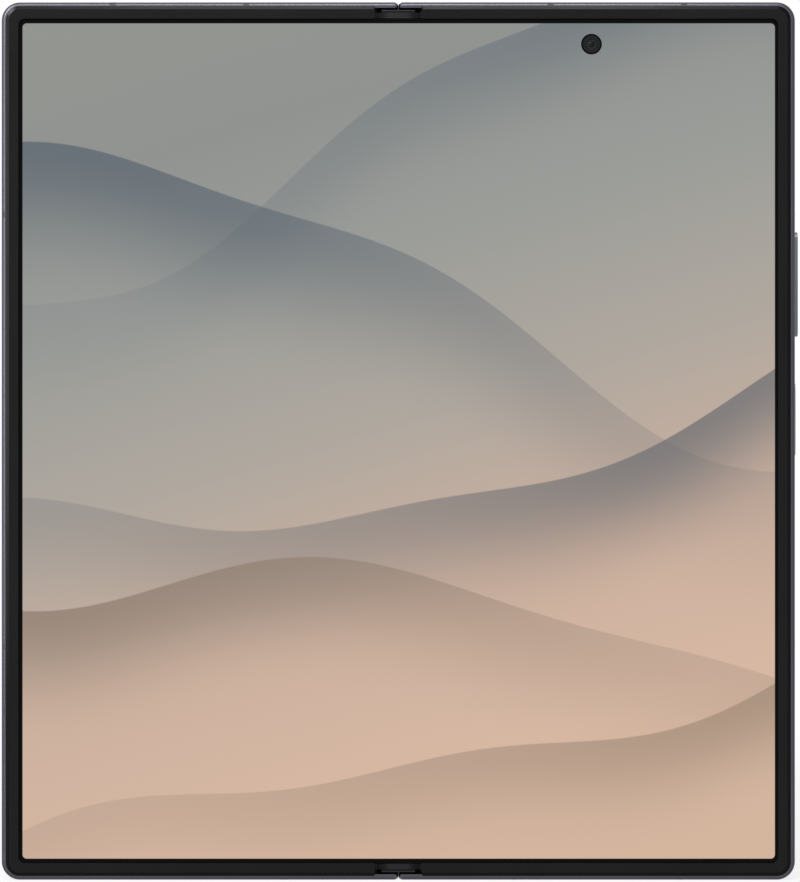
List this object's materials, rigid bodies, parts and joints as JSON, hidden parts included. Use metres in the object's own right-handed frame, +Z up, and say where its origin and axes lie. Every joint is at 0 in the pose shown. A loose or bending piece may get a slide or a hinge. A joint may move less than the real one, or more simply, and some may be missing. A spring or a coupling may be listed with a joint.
{
  "type": "foldable smartphone",
  "caption": "Book-style foldable smartphone standing open, with a geared two-axis hinge, a bending inner display, side keys, a SIM tray and a rear camera island.",
  "frame": {"origin": "middle of the bottom of the bounding box of the open phone, which stands on its bottom edge", "axes": "+X to the right seen from the inner display, along the width of the open phone; +Y out of the back; +Z up along the height of the phone. The fold axes run along Z."},
  "size_m": [0.1438, 0.0063, 0.1584],
  "materials": {
    "frame_metal": "anodised satin",
    "antenna_plastic": "moulded flush with the frame",
    "bezel_rubber": "fine matte",
    "plate_steel": "rolled",
    "display_film": "polished film over a lit panel",
    "frosted_glass": "frosted",
    "black_glass": "polished",
    "island_metal": "anodised satin",
    "ring_metal": "turned and anodised",
    "lens_glass": "coated",
    "flash_lens": "diffuse moulding",
    "module_plastic": "moulded",
    "board_laminate": "solder resist",
    "can_steel": "stamped",
    "battery_pouch": "laminated pouch",
    "coil_copper": "enamelled wire",
    "port_steel": "drawn",
    "speaker_plastic": "moulded",
    "switch_metal": "stamped",
    "hinge_steel": "sintered",
    "screw_steel": "turned",
    "magnet_plating": "nickel plated",
    "panel_black": "unlit panel",
    "spine_metal": "anodised satin",
    "cap_metal": "black anodised",
    "pin_steel": "ground",
    "gear_steel": "sintered",
    "key_metal": "anodised satin"
  },
  "bodies": {
    "right_half": {"right_frame": "frame_metal", "right_antenna_bands": "antenna_plastic", "right_bezel": "bezel_rubber", "right_support_plate": "plate_steel", "right_display_panel": "display_film", "right_back_glass": "frosted_glass", "camera_island": "island_metal", "camera_rings": "ring_metal", "camera_lenses": "lens_glass", "camera_modules": "module_plastic", "flash_led": "flash_lens", "inner_camera": "module_plastic", "inner_camera_lens": "lens_glass", "main_board": "board_laminate", "shield_cans": "can_steel", "right_battery": "battery_pouch", "wireless_coil": "coil_copper", "sub_board": "board_laminate", "usb_receptacle": "port_steel", "bottom_speaker": "speaker_plastic", "vibration_motor": "can_steel", "volume_switches": "switch_metal", "side_switch": "switch_metal", "right_hinge_arms": "hinge_steel", "right_arm_screws": "screw_steel", "right_magnets": "magnet_plating"},
    "left_half": {"left_frame": "frame_metal", "left_antenna_bands": "antenna_plastic", "left_bezel": "bezel_rubber", "left_support_plate": "plate_steel", "left_display_panel": "display_film", "cover_glass": "black_glass", "cover_panel": "panel_black", "cover_camera": "module_plastic", "left_battery": "battery_pouch", "left_board": "board_laminate", "top_speaker": "speaker_plastic", "sim_reader": "can_steel", "left_hinge_arms": "hinge_steel", "left_arm_screws": "screw_steel", "left_magnets": "magnet_plating"},
    "spine": {"spine_cover": "spine_metal", "upper_hinge_cap": "cap_metal", "lower_hinge_cap": "cap_metal", "upper_hinge_bracket": "hinge_steel", "lower_hinge_bracket": "hinge_steel", "hinge_pins": "pin_steel", "display_fold": "display_film"},
    "right_drive": {"right_drive_gears": "gear_steel"},
    "left_drive": {"left_drive_gears": "gear_steel"},
    "right_idler": {"right_idler_gears": "gear_steel"},
    "left_idler": {"left_idler_gears": "gear_steel"},
    "volume_key_body": {"volume_key": "key_metal"},
    "side_key_body": {"side_key": "key_metal"},
    "sim_tray_body": {"sim_tray": "frame_metal"}
  },
  "joints": [
    {"name": "fold_right", "type": "hinge", "parent": "right_half", "child": "spine", "pos_m": [0.0013, -0.00105, 0.0792], "axis": [0, 0, 1], "range_deg": [0, 90], "deforming": ["display_fold"]},
    {"name": "fold_left", "type": "hinge", "parent": "spine", "child": "left_half", "pos_m": [-0.0013, -0.00105, 0.0792], "axis": [0, 0, 1], "range_deg": [0, 90], "deforming": ["display_fold"]},
    {"name": "right_drive_spin", "type": "hinge", "parent": "spine", "child": "right_drive", "pos_m": [0.0013, 0.00045, 0.0792], "axis": [0, 0, 1], "range_deg": [0, 180]},
    {"name": "left_drive_spin", "type": "hinge", "parent": "spine", "child": "left_drive", "pos_m": [-0.0013, 0.00045, 0.0792], "axis": [0, 0, 1], "range_deg": [-180, 0]},
    {"name": "right_idler_spin", "type": "hinge", "parent": "spine", "child": "right_idler", "pos_m": [0.0005, -0.00015, 0.0792], "axis": [0, 0, 1], "range_deg": [-180, 0]},
    {"name": "left_idler_spin", "type": "hinge", "parent": "spine", "child": "left_idler", "pos_m": [-0.0005, -0.00015, 0.0792], "axis": [0, 0, 1], "range_deg": [0, 180]},
    {"name": "volume_rock", "type": "hinge", "parent": "right_half", "child": "volume_key_body", "pos_m": [0.06993, 0, 0.1075], "axis": [0, 1, 0], "range_deg": [-1, 1], "stiffness_Nm_per_rad": 0.5},
    {"name": "side_press", "type": "slide", "parent": "right_half", "child": "side_key_body", "axis": [-1, 0, 0], "range_m": [0, 0.00015], "stiffness_N_per_m": 3000, "springref_m": -0.0002},
    {"name": "sim_slide", "type": "slide", "parent": "left_half", "child": "sim_tray_body", "axis": [-1, 0, 0], "range_m": [0, 0.0226]}
  ],
  "couplings": [
    {"joint": "fold_left", "follows": "fold_right", "ratio": 1},
    {"joint": "right_drive_spin", "follows": "fold_right", "ratio": 2},
    {"joint": "left_drive_spin", "follows": "fold_right", "ratio": -2},
    {"joint": "right_idler_spin", "follows": "fold_right", "ratio": -2},
    {"joint": "left_idler_spin", "follows": "fold_right", "ratio": 2}
  ]
}
